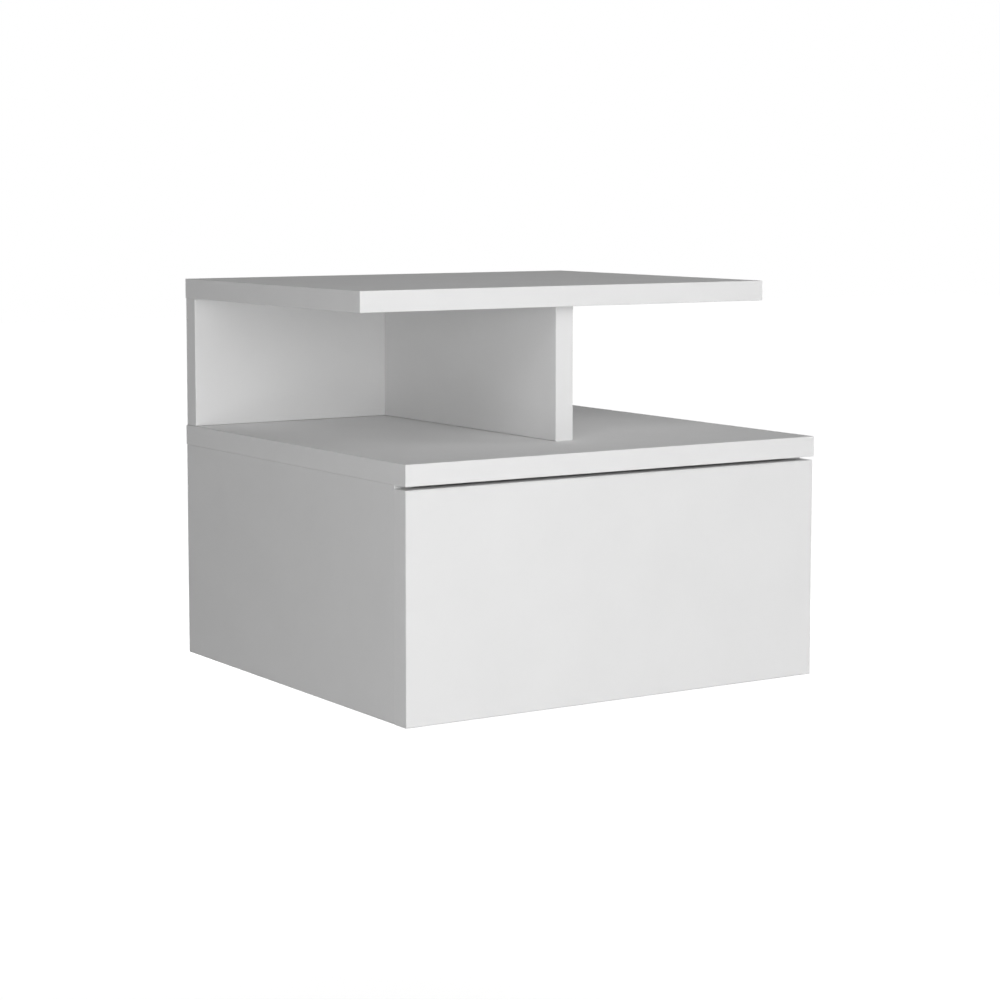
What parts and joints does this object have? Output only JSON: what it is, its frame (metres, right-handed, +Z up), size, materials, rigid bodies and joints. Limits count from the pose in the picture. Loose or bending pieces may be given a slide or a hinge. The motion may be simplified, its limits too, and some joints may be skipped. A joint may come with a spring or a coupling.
{
  "type": "floating nightstand",
  "caption": "Wall-hung nightstand: handleless drawer on roller slides under a shelf, with an open niche, an open bay and a set-back top.",
  "frame": {"origin": "on the wall plane, at the middle of the width and height of the case's back panel, where the part is held", "axes": "+X to the right as seen from the room, +Y into the wall, +Z up"},
  "size_m": [0.352, 0.33, 0.291],
  "materials": {
    "white_board": "white melamine on particleboard with white edge banding, satin, very fine texture",
    "hardboard": "white-lacquered hardboard, satin",
    "epoxy_steel": "white epoxy coating on rolled steel, semi-gloss",
    "zinc_steel": "bright zinc plating",
    "nylon": "natural white nylon, satin"
  },
  "bodies": {
    "case": {"shelf_panel": "white_board", "top_panel": "white_board", "case_back_panel": "white_board", "niche_back_panel": "white_board", "divider_panel": "white_board", "side_panel_left": "white_board", "side_panel_right": "white_board", "cabinet_rail_left": "epoxy_steel", "cabinet_rail_right": "epoxy_steel", "cabinet_roller_pin_left": "zinc_steel", "cabinet_roller_pin_right": "zinc_steel", "side_left_front_cam": "zinc_steel", "side_left_front_cam_bolt": "zinc_steel", "side_left_rear_cam": "zinc_steel", "side_left_rear_cam_bolt": "zinc_steel", "side_right_front_cam": "zinc_steel", "side_right_front_cam_bolt": "zinc_steel", "side_right_rear_cam": "zinc_steel", "side_right_rear_cam_bolt": "zinc_steel", "back_left_cam": "zinc_steel", "back_left_cam_bolt": "zinc_steel", "back_right_cam": "zinc_steel", "back_right_cam_bolt": "zinc_steel", "divider_front_cam": "zinc_steel", "divider_front_cam_bolt": "zinc_steel", "divider_rear_cam": "zinc_steel", "divider_rear_cam_bolt": "zinc_steel", "niche_back_cam": "zinc_steel", "niche_back_cam_bolt": "zinc_steel", "divider_front_screw": "zinc_steel", "divider_rear_screw": "zinc_steel", "niche_back_screw": "zinc_steel", "divider_end_screw": "zinc_steel", "cabinet_rail_left_screw_front": "zinc_steel", "cabinet_rail_left_screw_rear": "zinc_steel", "cabinet_rail_right_screw_front": "zinc_steel", "cabinet_rail_right_screw_rear": "zinc_steel"},
    "drawer": {"drawer_front": "white_board", "drawer_back": "white_board", "drawer_side_left": "white_board", "drawer_side_right": "white_board", "drawer_bottom": "hardboard", "drawer_rail_left": "epoxy_steel", "drawer_rail_right": "epoxy_steel", "drawer_roller_pin_left": "zinc_steel", "drawer_roller_pin_right": "zinc_steel", "drawer_left_cam": "zinc_steel", "drawer_left_cam_bolt": "zinc_steel", "drawer_right_cam": "zinc_steel", "drawer_right_cam_bolt": "zinc_steel", "drawer_back_screw_left_lower": "zinc_steel", "drawer_back_screw_left_upper": "zinc_steel", "drawer_back_screw_right_lower": "zinc_steel", "drawer_back_screw_right_upper": "zinc_steel", "drawer_rail_left_screw": "zinc_steel", "drawer_rail_right_screw": "zinc_steel"},
    "cabinet_roller_left": {"cabinet_roller_left": "nylon"},
    "cabinet_roller_right": {"cabinet_roller_right": "nylon"},
    "drawer_roller_left": {"drawer_roller_left": "nylon"},
    "drawer_roller_right": {"drawer_roller_right": "nylon"}
  },
  "joints": [
    {"name": "drawer_slide", "type": "slide", "parent": "case", "child": "drawer", "axis": [0, -1, 0], "range_m": [0, 0.19]},
    {"name": "cabinet_roller_left_spin", "type": "hinge", "parent": "case", "child": "cabinet_roller_left", "pos_m": [-0.15475, -0.30075, -0.0425], "axis": [1, 0, 0], "range_deg": [0, 1361]},
    {"name": "cabinet_roller_right_spin", "type": "hinge", "parent": "case", "child": "cabinet_roller_right", "pos_m": [0.15475, -0.30075, -0.0425], "axis": [1, 0, 0], "range_deg": [0, 1361]},
    {"name": "drawer_roller_left_spin", "type": "hinge", "parent": "drawer", "child": "drawer_roller_left", "pos_m": [-0.15475, -0.07475, -0.04525], "axis": [1, 0, 0], "range_deg": [0, 1361]},
    {"name": "drawer_roller_right_spin", "type": "hinge", "parent": "drawer", "child": "drawer_roller_right", "pos_m": [0.15475, -0.07475, -0.04525], "axis": [1, 0, 0], "range_deg": [0, 1361]}
  ],
  "couplings": [
    {"joint": "cabinet_roller_left_spin", "follows": "drawer_slide", "rad_per_m": 125},
    {"joint": "cabinet_roller_right_spin", "follows": "drawer_slide", "rad_per_m": 125},
    {"joint": "drawer_roller_left_spin", "follows": "drawer_slide", "rad_per_m": 125},
    {"joint": "drawer_roller_right_spin", "follows": "drawer_slide", "rad_per_m": 125}
  ]
}
